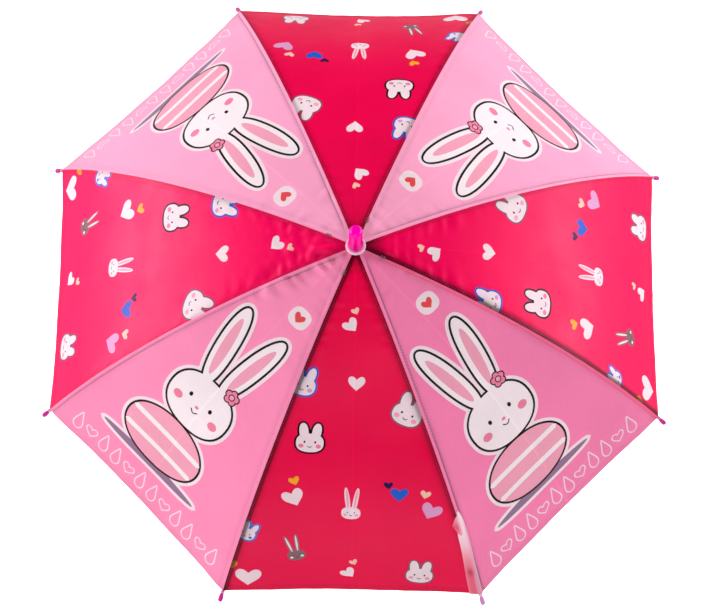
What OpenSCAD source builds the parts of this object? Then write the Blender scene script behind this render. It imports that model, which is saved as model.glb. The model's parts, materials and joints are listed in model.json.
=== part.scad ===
// Child's stick umbrella, standing open: a shaft with a crown, ferrule and hook handle,
// eight ribs and stretchers on a sliding runner, and a canopy of eight cloth gores.
// +Z runs up the shaft. The origin is on the shaft axis, halfway up the straight grip.

/* [Canopy] */
// Radius of the arc that the open ribs hold the cloth to
dome_r = 513.5; // [508:0.5:525]
// Distance from the shaft axis to a corner of the canopy
corner_r = 412; // [400:1:418]
// Thickness of a cloth gore
cloth_t = 0.6; // [0.4:0.1:0.7]

/* [Ribs] */
// Radius of the round wire of a rib or a stretcher
wire_r = 1.3; // [1.1:0.05:1.5]
// Angle down the dome at which a stretcher meets its rib
joint_phi = 25.2; // [24.5:0.1:26]
// Length of a plastic rib tip
tip_len = 27.4; // [24:0.2:30]
// Radius of a rib tip's bulb
tip_r = 3; // [2.6:0.1:3.4]

/* [Shaft] */
// Height of the rib hinges above the middle of the grip
crown_z = 512; // [505:1:530]
// Outer radius of the shaft tube
shaft_r = 4; // [3.8:0.1:4.2]
// Wall of the shaft tube
shaft_wall = 0.8; // [0.6:0.1:1]
// Radius of the rings of wire that the ribs and stretchers hinge on
hinge_r = 8; // [7.8:0.1:8.4]

/* [Ferrule] */
// Height of the ferrule above its washer
ferrule_h = 60; // [50:1:66]
// Radius of the ferrule's straight nose
ferrule_r = 8.2; // [7.8:0.1:9]
// Radius of the ferrule's foot
ferrule_foot_r = 9.4; // [9:0.1:10.5]
// Radius of the washer under the ferrule
washer_r = 11.8; // [11:0.1:13]

/* [Handle] */
// Radius of the handle's round section
grip_r = 9.5; // [8:0.1:10]
// Length of the straight grip
grip_len = 75; // [70:1:80]
// Radius of the hook's centreline
hook_r = 27; // [24:0.5:32]
// Length of the straight nose after the hook's bend
hook_nose = 10; // [6:1:16]

/* [Runner] */
// Length of the runner's sleeve below its hinge ring
runner_len = 45; // [42:1:47]
// Outer radius of the runner's sleeve
sleeve_r = 6.4; // [6:0.1:6.8]

/* [Tie strap] */
// Width of the strap that wraps the closed umbrella
strap_w = 13; // [10:0.5:16]
// Thickness of the strap
strap_t = 0.8; // [0.6:0.1:1]

/* [Hidden] */
RIBS = 8;
PITCH = 360 / RIBS;
$fn = 64;

fit = 0.05;              // radial clearance of a sliding or pushed fit
seam_gap = 0.2;          // from a rib's plane to the edge of each gore beside it
wire_gap = 0.4;          // from a rib's wire up to the cloth
eps = 0.01;

arc_r = dome_r - cloth_t - wire_gap - wire_r;            // a rib's centreline
dome_z = crown_z - sqrt(arc_r * arc_r - hinge_r * hinge_r);
apex_z = dome_z + dome_r;
crown_phi = asin(hinge_r / arc_r);
corner_phi = asin(corner_r / dome_r);
mm_phi = 180 / (PI * arc_r);                             // degrees for 1 mm along a rib

// hinge rings: a flat eye on each rib and stretcher turns on a ring of thin wire
ring_wire_r = 0.5;
eye_r = 1.5;
eye_bore_r = 0.62;
flat_t = 1.4;
flat_h = 2.6;
flat_len = 8;
slot_w = 2;
slot_in_r = 5.6;
head_r = 9.5;
groove_in_r = 7.4;
groove_h = 1.2;

// rib joint: a lug under the rib, between the two cheeks of the stretcher's fork
lug_drop = 4.2;
lug_r = 2.6;
lug_t = 1.6;
rivet_r = 1;
rivet_head_r = 1.7;
rivet_head_t = 0.6;
fork_in = 1.15;
fork_t = 0.9;
fork_r = 2.4;
fork_len = 9;
bridge_len = 3;
joint_r = (arc_r - lug_drop) * sin(joint_phi);
joint_z = dome_z + (arc_r - lug_drop) * cos(joint_phi);
// the stretcher is as long as the rib is from its hinge to the joint, so the runner
// slides along the shaft exactly while the two turn by equal and opposite angles
stretcher_slope = atan2(crown_z - joint_z, joint_r - hinge_r);
stretcher_len = norm([joint_r - hinge_r, crown_z - joint_z]);
runner_z = 2 * joint_z - crown_z;
fold_deg = 60;
closed_runner_z = crown_z - 2 * stretcher_len * sin(stretcher_slope + fold_deg);

crown_top = 1.4;
crown_bottom = -7;
pin_r = 0.9;
washer_t = 2.6;
washer_z = apex_z + 0.3;
ferrule_z = washer_z + washer_t;
ferrule_taper_h = 28;
ferrule_round = 4;
shaft_in_ferrule = 32;
shaft_in_grip = 55;
collar_h = 3.5;
collar_r = 11;

runner_head_top = 3;
runner_head_bottom = -6;
runner_foot_r = 8.5;
runner_foot_h = 9;
window_w = 4.4;
window_h = 16;
catch_w = 2.2;
catch_h = 12;
catch_reach = 6.6;
catch_leaf_t = 0.8;
catch_leaf_h = 24;
catch_leaf_x = 1.8;
catch_slot_gap = 0.4;
top_catch_z = runner_z - runner_len - 0.5 - catch_h;
bottom_catch_z = closed_runner_z - runner_len / 2 - catch_h / 2 + 2;
window_z = bottom_catch_z + catch_h / 2 - closed_runner_z;

strap_top_phi = corner_phi - 13;
strap_gap = 0.35;
strap_in = 0.6;
patch_len = 22;
patch_t = 0.5;
tip_neck_r = 2.1;
tip_neck_len = 13.4;
tip_inside = 5;
tip_bore_len = 10;
gore_steps = 20;
gore_in_r = 5;

PINK = [0.97, 0.55, 0.72];
RED = [0.90, 0.02, 0.30];
MAGENTA = [0.86, 0.05, 0.55];
PALE = [0.98, 0.80, 0.88];
STEEL = [0.75, 0.76, 0.78];
WHITE = [0.94, 0.94, 0.94];

// ---- frames ----

function rib_az(i) = PITCH * (i - 0.5);

// the plane of rib i: X outward, Z up
module rib_plane(i) {
    rotate([0, 0, rib_az(i)]) children();
}

// a place r from the dome's centre and phi down from its top: X down the dome, Z outward
module on_arc(r, phi) {
    translate([r * sin(phi), 0, dome_z + r * cos(phi)]) rotate([0, phi, 0]) children();
}

// the stretcher's own frame: origin at the runner's ring, X towards the rib joint
module on_stretcher() {
    translate([hinge_r, 0, runner_z]) rotate([0, -stretcher_slope, 0]) children();
}

module across(r, h) {
    rotate([90, 0, 0]) cylinder(r = r, h = h, center = true);
}

module along(r, h) {
    rotate([0, 90, 0]) cylinder(r = r, h = h);
}

// ---- shaft, crown and ferrule ----

module catch_slot(z) {
    translate([shaft_r, 0, z + catch_h / 2])
        cube([2 * shaft_r, catch_w + 2 * catch_slot_gap, catch_h + 2 * catch_slot_gap], center = true);
}

module shaft_tube() {
    bottom = grip_len / 2 - shaft_in_grip;
    top = ferrule_z + shaft_in_ferrule;
    color(STEEL) difference() {
        translate([0, 0, bottom]) cylinder(r = shaft_r, h = top - bottom);
        translate([0, 0, bottom - 1]) cylinder(r = shaft_r - shaft_wall, h = top - bottom + 2);
        catch_slot(top_catch_z);
        catch_slot(bottom_catch_z);
        translate([0, 0, crown_z + crown_bottom / 2 - 1.5]) across(pin_r + fit, 4 * shaft_r);
        translate([0, 0, runner_z + runner_head_top + 2]) across(pin_r + fit, 4 * shaft_r);
    }
}

// the slots and the groove that a ring of wire and eight eyes sit in
module hinge_ring_cuts() {
    for (i = [1:RIBS])
        rib_plane(i) translate([slot_in_r, -slot_w / 2, -10]) cube([head_r, slot_w, 20]);
    rotate_extrude() translate([groove_in_r, -groove_h / 2]) square([head_r, groove_h]);
}

module crown_notch() {
    color(WHITE) difference() {
        translate([0, 0, crown_z + crown_bottom]) cylinder(r = head_r, h = crown_top - crown_bottom);
        translate([0, 0, crown_z - 20]) cylinder(r = shaft_r + fit, h = 40);
        translate([0, 0, crown_z]) hinge_ring_cuts();
        translate([0, 0, crown_z + crown_bottom / 2 - 1.5]) across(pin_r + fit, 4 * head_r);
    }
}

module hinge_wire(z) {
    color(STEEL) translate([0, 0, z])
        rotate_extrude() translate([hinge_r, 0]) circle(r = ring_wire_r, $fn = 32);
}

module cross_pin(z, reach) {
    color(STEEL) translate([0, 0, z]) across(pin_r, 2 * reach);
}

module canopy_washer() {
    edge = washer_t / 2;
    color(PALE) translate([0, 0, washer_z]) difference() {
        union() {
            cylinder(r = washer_r - edge, h = washer_t);
            translate([0, 0, edge]) rotate_extrude() translate([washer_r - edge, 0]) circle(r = edge);
        }
        translate([0, 0, -1]) cylinder(r = shaft_r + fit, h = washer_t + 2);
    }
}

module ferrule() {
    straight = ferrule_h - ferrule_taper_h - ferrule_round;
    color(MAGENTA) translate([0, 0, ferrule_z]) difference() {
        union() {
            cylinder(r1 = ferrule_foot_r, r2 = ferrule_r, h = ferrule_taper_h);
            translate([0, 0, ferrule_taper_h]) {
                cylinder(r = ferrule_r, h = straight);
                translate([0, 0, straight]) {
                    cylinder(r = ferrule_r - ferrule_round, h = ferrule_round);
                    rotate_extrude() translate([ferrule_r - ferrule_round, 0]) circle(r = ferrule_round);
                }
            }
        }
        translate([0, 0, -1]) cylinder(r = shaft_r + fit, h = shaft_in_ferrule + 2);
    }
}

// ---- handle ----

module handle() {
    color(MAGENTA) difference() {
        union() {
            translate([0, 0, -grip_len / 2]) cylinder(r = grip_r, h = grip_len);
            translate([hook_r, 0, -grip_len / 2]) rotate([90, 0, 0]) rotate([0, 0, 180])
                rotate_extrude(angle = 180) translate([hook_r, 0]) circle(r = grip_r);
            translate([2 * hook_r, 0, -grip_len / 2]) cylinder(r = grip_r, h = hook_nose);
        }
        translate([0, 0, grip_len / 2 - shaft_in_grip - 1]) cylinder(r = shaft_r + fit, h = shaft_in_grip + 2);
    }
}

module handle_collar() {
    color(PALE) translate([0, 0, grip_len / 2]) difference() {
        cylinder(r1 = collar_r, r2 = collar_r - 2.5, h = collar_h);
        translate([0, 0, -1]) cylinder(r = shaft_r + fit, h = collar_h + 2);
    }
}

module handle_end_cap() {
    color(PALE) translate([2 * hook_r, 0, hook_nose - grip_len / 2])
        intersection() {
            translate([0, 0, -grip_r / 2]) sphere(r = grip_r * 1.118);
            cylinder(r = grip_r + 1, h = grip_r);
        }
}

// ---- runner and catches ----

module runner() {
    color(MAGENTA) translate([0, 0, runner_z]) difference() {
        union() {
            translate([0, 0, runner_head_bottom]) cylinder(r = head_r, h = runner_head_top - runner_head_bottom);
            translate([0, 0, -runner_len]) cylinder(r = sleeve_r, h = runner_len);
            translate([0, 0, -runner_len]) cylinder(r1 = runner_foot_r, r2 = sleeve_r, h = runner_foot_h);
        }
        translate([0, 0, -runner_len - 1]) cylinder(r = shaft_r + fit, h = runner_len + 10);
        intersection() {
            hinge_ring_cuts();
            translate([0, 0, -eye_r - 0.6]) cylinder(r = 2 * head_r, h = 10);
        }
        translate([shaft_r + 2, 0, window_z]) cube([2 * shaft_r, window_w, window_h], center = true);
    }
}

// a leaf spring inside the tube, with a ramped tooth that stands out through the slot
module catch_spring(z) {
    color(STEEL) translate([0, catch_w / 2, z]) rotate([90, 0, 0]) linear_extrude(catch_w)
        polygon([
            [catch_leaf_x - catch_leaf_t, catch_h - catch_leaf_h], [catch_leaf_x, catch_h - catch_leaf_h],
            [catch_leaf_x, 0], [catch_reach - 2.2, 1], [catch_reach, catch_h - 2],
            [catch_reach, catch_h], [catch_leaf_x - catch_leaf_t, catch_h]
        ]);
}

// ---- ribs ----

module rib(i) {
    color(STEEL) rib_plane(i) difference() {
        union() {
            translate([hinge_r, 0, crown_z]) across(eye_r, flat_t);
            on_arc(arc_r, crown_phi) translate([0, -flat_t / 2, -flat_h / 2]) cube([flat_len, flat_t, flat_h]);
            rib_wire();
            on_arc(arc_r - lug_drop, joint_phi) {
                across(lug_r, lug_t);
                translate([-lug_r, -lug_t / 2, 0]) cube([2 * lug_r, lug_t, lug_drop]);
            }
        }
        translate([hinge_r, 0, crown_z]) across(eye_bore_r, 2 * flat_t);
        on_arc(arc_r - lug_drop, joint_phi) across(rivet_r + 0.03, 2 * lug_t);
    }
}

module rib_wire() {
    start = crown_phi + (flat_len - 1) * mm_phi;
    end = corner_phi + (tip_bore_len - tip_inside - 1) * mm_phi;
    translate([0, 0, dome_z]) rotate([90, 0, 0]) rotate([0, 0, 90 - end])
        rotate_extrude(angle = end - start) translate([arc_r, 0]) circle(r = wire_r, $fn = 32);
}

module tip_frame() {
    on_arc(arc_r, corner_phi) translate([-tip_inside, 0, 0]) children();
}

module rib_tip(i) {
    bulb = tip_len - tip_neck_len;
    color(MAGENTA) rib_plane(i) tip_frame() difference() {
        union() {
            along(tip_neck_r, tip_len / 2);
            translate([tip_neck_len + tip_r, 0, 0]) {
                along(tip_r, bulb - 2 * tip_r);
                sphere(r = tip_r);
                translate([bulb - 2 * tip_r, 0, 0]) sphere(r = tip_r);
            }
        }
        translate([-1, 0, 0]) along(wire_r + fit, tip_bore_len + 1);
        translate([tip_bore_len + 2.4, 0, 0]) across(0.6, 4 * tip_r);
    }
}

module joint_rivet(i) {
    half = fork_in + fork_t + 0.3;
    color(STEEL) rib_plane(i) on_arc(arc_r - lug_drop, joint_phi) {
        across(rivet_r, 2 * half + rivet_head_t);
        for (side = [-1, 1])
            translate([0, side * (half + rivet_head_t / 2), 0]) across(rivet_head_r, rivet_head_t);
    }
}

module stretcher(i) {
    color(STEEL) rib_plane(i) on_stretcher() difference() {
        union() {
            across(eye_r, flat_t);
            translate([0, -flat_t / 2, -flat_h / 2]) cube([flat_len, flat_t, flat_h]);
            translate([flat_len - 1, 0, 0]) along(wire_r, stretcher_len - flat_len - fork_len + 2);
            translate([stretcher_len - fork_len, -fork_in - fork_t, -flat_h / 2])
                cube([bridge_len, 2 * (fork_in + fork_t), flat_h]);
            for (side = [-1, 1])
                translate([stretcher_len, side * (fork_in + fork_t / 2), 0]) {
                    across(fork_r, fork_t);
                    translate([-fork_len + eps, -fork_t / 2, -flat_h / 2])
                        cube([fork_len, fork_t, flat_h]);
                }
        }
        across(eye_bore_r, 2 * flat_t);
        translate([stretcher_len, 0, 0]) across(rivet_r + 0.06, 4 * fork_r);
    }
}

// ---- cloth ----

// the outline of a gore cut down its middle, between two depths from the dome's surface;
// straight lines across the gore join the two ribs' arcs
function gore_edge(r, phi0, phi1) =
    [for (s = [0:gore_steps])
        let (phi = phi0 + (phi1 - phi0) * s / gore_steps)
        [r * sin(phi) * cos(PITCH / 2), dome_z + r * cos(phi)]];

module gore_band(r_in, r_out, phi0, phi1) {
    back = gore_edge(r_in, phi1, phi0);
    rotate([90, 0, 0]) linear_extrude(2 * corner_r, center = true)
        polygon(concat(gore_edge(r_out, phi0, phi1), back));
}

module canopy_gore(i) {
    far = 2 * corner_r;
    // the seam gap moves the point of the wedge out along the gore's middle
    point = seam_gap / sin(PITCH / 2);
    color(i % 2 == 1 ? PINK : RED) difference() {
        rotate([0, 0, PITCH * i]) intersection() {
            gore_band(dome_r - cloth_t, dome_r, asin(gore_in_r / dome_r), corner_phi);
            translate([point, 0, 0]) linear_extrude(2 * dome_r)
                polygon([[0, 0], [far, -far * tan(PITCH / 2)], [far, far * tan(PITCH / 2)]]);
        }
        for (k = [i, i + 1])
            rib_plane(k) tip_frame() translate([-1, 0, 0]) along(tip_neck_r + 0.35, tip_len);
    }
}

// a strip that lies on the gore before rib 7, beside that rib's seam
module strap_strip(gap, t, phi0, phi1, inset) {
    intersection() {
        rotate([0, 0, PITCH * 6]) gore_band(dome_r + gap, dome_r + gap + t, phi0, phi1);
        rib_plane(7) translate([0, -strap_in - strap_w + inset, 0])
            cube([corner_r + 10, strap_w - 2 * inset, 2 * dome_r]);
    }
}

module tie_strap() {
    color(PINK) strap_strip(strap_gap, strap_t, strap_top_phi, corner_phi, 0);
}

module tie_strap_patch() {
    color(WHITE) strap_strip(strap_gap + strap_t + 0.02, patch_t, strap_top_phi + 0.3,
        strap_top_phi + 0.3 + patch_len * mm_phi, 1.5);
}

shaft_tube();
crown_notch();
hinge_wire(crown_z);  // crown_wire
cross_pin(crown_z + crown_bottom / 2 - 1.5, head_r - 0.3);  // crown_pin
cross_pin(runner_z + runner_head_top + 2, sleeve_r);  // stop_pin
canopy_washer();
ferrule();
handle();
handle_collar();
handle_end_cap();
runner();
hinge_wire(runner_z);  // runner_wire
catch_spring(top_catch_z);  // top_catch
catch_spring(bottom_catch_z);  // bottom_catch
tie_strap();
tie_strap_patch();
for (i = [1:RIBS]) {
    rib(i);
    rib_tip(i);
    stretcher(i);
    joint_rivet(i);
    canopy_gore(i);
}
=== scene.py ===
"""The child's umbrella in Blender: printed cloth, plastics, steel, studio and camera.

Lengths are in millimetres down to the materials, and the meshes are made in metres.
The materials, the studio and the camera are in metres.
"""

import json
import math

import bmesh
import bpy
from mathutils import Matrix, Vector, noise
from mathutils.geometry import delaunay_2d_cdt

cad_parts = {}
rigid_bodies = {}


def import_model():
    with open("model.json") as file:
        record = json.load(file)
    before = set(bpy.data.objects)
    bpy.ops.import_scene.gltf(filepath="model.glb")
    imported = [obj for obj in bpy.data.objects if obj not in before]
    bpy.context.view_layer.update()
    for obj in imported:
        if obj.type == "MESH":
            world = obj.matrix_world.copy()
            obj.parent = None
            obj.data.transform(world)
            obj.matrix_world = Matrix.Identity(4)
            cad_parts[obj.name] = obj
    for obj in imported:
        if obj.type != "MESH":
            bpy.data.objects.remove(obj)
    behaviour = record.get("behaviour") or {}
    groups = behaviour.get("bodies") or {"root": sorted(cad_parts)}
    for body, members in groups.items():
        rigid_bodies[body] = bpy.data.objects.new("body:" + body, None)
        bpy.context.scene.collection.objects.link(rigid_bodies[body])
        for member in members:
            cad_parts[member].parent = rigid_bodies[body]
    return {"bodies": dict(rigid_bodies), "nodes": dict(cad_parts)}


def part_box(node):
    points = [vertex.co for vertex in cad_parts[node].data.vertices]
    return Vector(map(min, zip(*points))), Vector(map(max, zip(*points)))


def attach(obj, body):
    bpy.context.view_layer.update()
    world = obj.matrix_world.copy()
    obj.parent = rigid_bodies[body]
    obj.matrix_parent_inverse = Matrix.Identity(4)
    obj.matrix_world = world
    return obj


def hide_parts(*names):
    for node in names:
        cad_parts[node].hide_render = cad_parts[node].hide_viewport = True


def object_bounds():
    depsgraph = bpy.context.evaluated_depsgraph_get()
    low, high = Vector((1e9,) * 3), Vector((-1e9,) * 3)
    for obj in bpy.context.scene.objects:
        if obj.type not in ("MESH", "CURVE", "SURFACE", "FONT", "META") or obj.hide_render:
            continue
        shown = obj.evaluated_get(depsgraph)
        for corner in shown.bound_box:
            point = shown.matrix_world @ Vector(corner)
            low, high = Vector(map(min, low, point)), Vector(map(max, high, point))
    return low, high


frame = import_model()
CAD_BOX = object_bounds()

# ---- sizes of the frame and the cloth; the gores' extent is read from the CAD parts ----

MM = 0.001
RIBS = 8
PITCH = math.radians(45)
HALF = PITCH / 2
DOME_R = 513.5  # the arc that the open ribs hold the cloth to
HOLE_R = 5  # the gores' inner end, under the washer


def box_mm(node):
    low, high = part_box(node)
    return [c / MM for c in low], [c / MM for c in high]


GORE_HIGH = box_mm("canopy_gore_8")[1]
CORNER_R = GORE_HIGH[0] / math.cos(HALF)
CENTRE_Z = GORE_HIGH[2] - math.sqrt(DOME_R**2 - HOLE_R**2)
S_TOP = DOME_R * math.asin(HOLE_R / DOME_R)
S_HEM = DOME_R * math.asin(CORNER_R / DOME_R)
ARC_R = 511.2  # the ribs' centreline
CLOTH_T = 0.45
HEM_W = 9
TIE_S = (222, 352)  # where thread ties hold the cloth to a rib
SEAM_LINE = 5  # how far in from its edges a gore's seam allowance ends
HUB_S = 120  # down to here the gores are meshed finer
SHAFT_BORE = 4.05


def rib_azimuth(i):
    return PITCH * (i - 0.5)


def half_width(s):
    return DOME_R * math.sin(s / DOME_R) * math.sin(HALF) - 0.1


def bell(x, width):
    return math.exp(-((x / width) ** 2))


def ramp(x, start, end):
    t = min(max((x - start) / (end - start), 0), 1)
    return t * t * (3 - 2 * t)


# ---- colours ----


def tone(code):
    """A '#rrggbb' colour as linear RGBA."""
    out = []
    for i in (1, 3, 5):
        c = int(code[i : i + 2], 16) / 255
        out.append(c / 12.92 if c <= 0.04045 else ((c + 0.055) / 1.055) ** 2.4)
    return (*out, 1.0)


RED = tone("#f70a4b")
PINK = tone("#ff97c0")
# each gore's ground colour is its dye with painted light: gore by gore lighter, deeper or hazier to stand
# in for the light on it
GORE_DYES_AND_PAINTED_LIGHT = ["#ffa5c8", "#ec054b", "#ffa5ca", "#ff045c", "#ff8eb8", "#f00046", "#fa81b0", "#fb0256"]
INK = tone("#0c090b")
WHITE = tone("#f7e6ec")
BLUSH = tone("#f3a0b8")
ROSE = tone("#ee7f9f")
CORAL = tone("#e8484f")
MAUVE = tone("#94708f")
NAVY = tone("#1d1150")
BLUE = tone("#0f5ccb")
SKY = tone("#2f6fd0")
LILAC = tone("#dd9ccb")
PEACH = tone("#f6c3ae")
AMBER = tone("#f7a81c")
BROWN = tone("#87656a")
GREY = tone("#6d5a66")
PALE = tone("#f4dbe3")
# the ribbon's colours: a painted pale sheen, its pink, a warmer pink, painted shade at its fold and painted
# shade by its edge
RIBBON_PAINTED_SHEEN = tone("#ffdce9")
RIBBON = tone("#ffb6c6")
RIBBON_WARM = tone("#f0607e")
RIBBON_FOLD_SHADE = tone("#c81e50")
RIBBON_PAINTED_SHADE = tone("#cf94b2")
TAB_PALE = tone("#ffdfe9")
TAB = tone("#fa8fa8")
TAB_LOW = tone("#ee4f74")


# ---- outlines of the print, in the plane of a gore: u across, s down from the hub ----


def spin(x, y, turn):
    a = math.radians(turn)
    return x * math.cos(a) - y * math.sin(a), x * math.sin(a) + y * math.cos(a)


def oval(cx, cy, rx, ry, turn=0, n=32, power=2.0):
    out = []
    for i in range(n):
        a = 2 * math.pi * i / n
        c, s = math.cos(a), math.sin(a)
        x = rx * math.copysign(abs(c) ** (2 / power), c)
        y = ry * math.copysign(abs(s) ** (2 / power), s)
        x, y = spin(x, y, turn)
        out.append((cx + x, cy + y))
    return out


def heart(cx, cy, width, turn=0, n=40):
    out = []
    for i in range(n):
        t = 2 * math.pi * i / n
        x = 16 * math.copysign(abs(math.sin(t)) ** 2.1, math.sin(t))
        y = 13 * math.cos(t) - 5 * math.cos(2 * t) - 2 * math.cos(3 * t) - math.cos(4 * t)
        x, y = spin(x * width / 32, -(y + 2.5) * width / 32, turn)
        out.append((cx + x, cy + y))
    return out


def through(points, closed=True, steps=6):
    """A smooth line through points."""
    n = len(points)
    out = []
    for i in range(n if closed else n - 1):
        if closed:
            a, b, c, d = (points[(i + j) % n] for j in (-1, 0, 1, 2))
        else:
            a, b, c, d = (points[min(max(i + j, 0), n - 1)] for j in (-1, 0, 1, 2))
        for k in range(steps):
            t = k / steps
            out.append(
                tuple(
                    0.5
                    * (
                        2 * b[m]
                        + (c[m] - a[m]) * t
                        + (2 * a[m] - 5 * b[m] + 4 * c[m] - d[m]) * t * t
                        + (3 * b[m] - a[m] - 3 * c[m] + d[m]) * t**3
                    )
                    for m in (0, 1)
                )
            )
    if not closed:
        out.append(points[-1])
    return out


def area(points):
    """The outline's area, negative if it runs the other way round."""
    return sum(a[0] * b[1] - b[0] * a[1] for a, b in zip(points, points[1:] + points[:1])) / 2


def grow(points, d):
    """The closed outline moved out by d."""
    side = 1 if area(points) > 0 else -1
    n = len(points)
    out = []
    for i, p in enumerate(points):
        a, b = Vector(points[i - 1]), Vector(points[(i + 1) % n])
        p = Vector(p)
        e, f = (p - a).normalized(), (b - p).normalized()
        normal = Vector((e.y + f.y, -e.x - f.x)) * side
        if normal.length < 1e-6:
            continue
        normal.normalize()
        lean = max(abs(normal.x * e.y - normal.y * e.x), 0.6)
        out.append(tuple(p + normal * d / lean))
    return out


def stroke(points, width):
    """A line of that width with round ends, as a closed outline."""
    r = width / 2
    pts = [Vector(p) for p in points]
    left, right = [], []
    for i, p in enumerate(pts):
        d = (pts[min(i + 1, len(pts) - 1)] - pts[max(i - 1, 0)]).normalized()
        n = Vector((-d.y, d.x)) * r
        left.append(tuple(p + n))
        right.append(tuple(p - n))
    first = (pts[0] - pts[1]).normalized() * r
    last = (pts[-1] - pts[-2]).normalized() * r
    return left + [tuple(pts[-1] + last)] + right[::-1] + [tuple(pts[0] + first)]


def outlined(shapes, line, ink):
    """The shapes with one line round them all: every outline first, then every fill."""
    return [(grow(p, line / 2), ink) for p, _ in shapes] + [(grow(p, -line / 2), c) for p, c in shapes]


# ---- the pink gore's print ----

LINE = 2.8  # the big rabbit's outline
RABBIT_U, EAR_S, FACE_S = -6, 207, 291  # a plain rabbit, the same on both sides of RABBIT_U
CUSHION = (-14, 371, 60, 41)  # middle across, middle down, half width, half height


def print_rabbit():
    """(white shapes, what is drawn on them): two upright ears and an oval face."""
    white = [(oval(RABBIT_U + side * 21, EAR_S, 14.5, 58, side * 9, 40, 2.2), WHITE) for side in (-1, 1)]
    white.append((oval(RABBIT_U, FACE_S, 46, 39, 0, 48, 2.3), WHITE))
    drawn = []
    for side in (-1, 1):
        drawn.append((oval(RABBIT_U + side * 21.5, EAR_S + 1, 6.6, 42, side * 9, 28), BLUSH))
        drawn.append((oval(RABBIT_U + side * 29, FACE_S + 9, 6.6, 5.6, 0, 20), ROSE))
        drawn.append((oval(RABBIT_U + side * 16, FACE_S - 4, 2.5, 3.2, 0, 12), INK))
    drawn.append((oval(RABBIT_U, FACE_S + 5, 2.9, 2.1, 0, 12), ROSE))
    mouth = [(RABBIT_U + x, FACE_S + y) for x, y in ((-5, 11), (0, 14.5), (5, 11))]
    drawn.append((stroke(through(mouth, False), 1.5), INK))
    return white, drawn


def print_flower(x, y):
    """Five round petals."""
    petals = [(*spin(0, -5.8, 72 * i), 4.6) for i in range(5)]
    shapes = [(oval(x + px, y + py, r, r, 0, 16), ROSE) for px, py, r in petals]
    return outlined(shapes, 1.6, INK) + outlined([(oval(x, y, 3.8, 3.8, 0, 14), BLUSH)], 1.3, INK)


def print_cushion():
    """(outline, bands): an oval with two pale bands across it."""
    u, s, wide, tall = CUSHION
    bands = []
    for down in (-13, 14):
        half = wide * math.sqrt(1 - (down / tall) ** 2) - 4
        bands.append((stroke([(u - half + 2 * half * i / 8, s + down) for i in range(9)], 7.2), WHITE))
    return [(oval(u, s, wide, tall, 0, 56, 2.1), BLUSH)], bands


def print_row():
    """A row of drops and hearts in fine line."""
    out = []
    for j in range(12):
        x = -117 + j * 21.6
        y = 450.5 + 1.5 * math.sin(j * 2.1)
        if j % 3 == 1:
            shape = heart(x, y, 17.5, 6 * (-1) ** j)
        else:
            half = [(0, -16), (3.0, -8), (5.6, 0), (6.8, 7), (4.6, 12.6), (0, 15)]
            whole = half + [(-a, b) for a, b in half[-2:0:-1]]
            shape = [(x + a, y + b) for a, b in through(whole, True, 4)]
        out.append((grow(shape, 0.85), PALE))
        out.append((grow(shape, -0.85), PINK))
    return out


def pink_layers():
    rabbit, drawn = print_rabbit()
    cushion, bands = print_cushion()
    ground = oval(CUSHION[0], CUSHION[1] + 42, 78, 6.2, 0, 44)
    layers = [(oval(14.5, 115, 13.8, 13.2, 0, 28, 2.6), PALE), (heart(14, 116, 14.5), CORAL)]
    layers += print_row()
    layers.append((grow(ground, 4.8), PALE))
    layers += [(grow(p, 5.6), PALE) for p, _ in rabbit + cushion]
    layers.append((ground, MAUVE))
    layers += outlined(rabbit, LINE, INK) + drawn
    layers += print_flower(RABBIT_U + 25, FACE_S - 40)
    layers += outlined(cushion, LINE, INK) + bands
    return layers


# ---- the red gore's print ----


def small_rabbit(x, y, width, turn=0, ink=None, fur=PALE, ear=0.42, line=2.3, cheek=BLUSH):
    """A plain rabbit's head; (x, y) is the middle of the face, ear the ears' length in widths."""
    w = width
    wide = w * (0.19 if ear < 0.9 else 0.13)
    local = []
    for side in (-1, 1):
        long = w * (ear / 2 + 0.16)
        local.append((oval(side * w * 0.215, -w * (0.2 + ear / 2), wide, long, side * 8, 20, 2.2), fur))
    local.append((oval(0, 0, w * 0.5, w * 0.39, 0, 28, 2.4), fur))
    parts = outlined(local, line, ink) if ink else local
    for side in (-1, 1):
        if ear > 0.9:
            inner = oval(side * w * 0.22, -w * (0.27 + ear / 2), w * 0.06, w * ear / 2, side * 7, 14)
            parts.append((inner, PALE if fur == BROWN else BLUSH))
        parts.append((oval(side * w * 0.29, w * 0.12, w * 0.09, w * 0.08, 0, 12), cheek))
        r = max(w * 0.035, 0.6)
        parts.append((oval(side * w * 0.18, -w * 0.03, r, r * 1.3, 0, 8), INK))
    mouth = [(-w * 0.07, w * 0.13), (0, w * 0.18), (w * 0.07, w * 0.13)]
    parts.append((stroke(mouth, max(w * 0.03, 0.9)), INK))
    return [([(x + a, y + b) for a, b in (spin(*p, turn) for p in shape)], c) for shape, c in parts]


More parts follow.
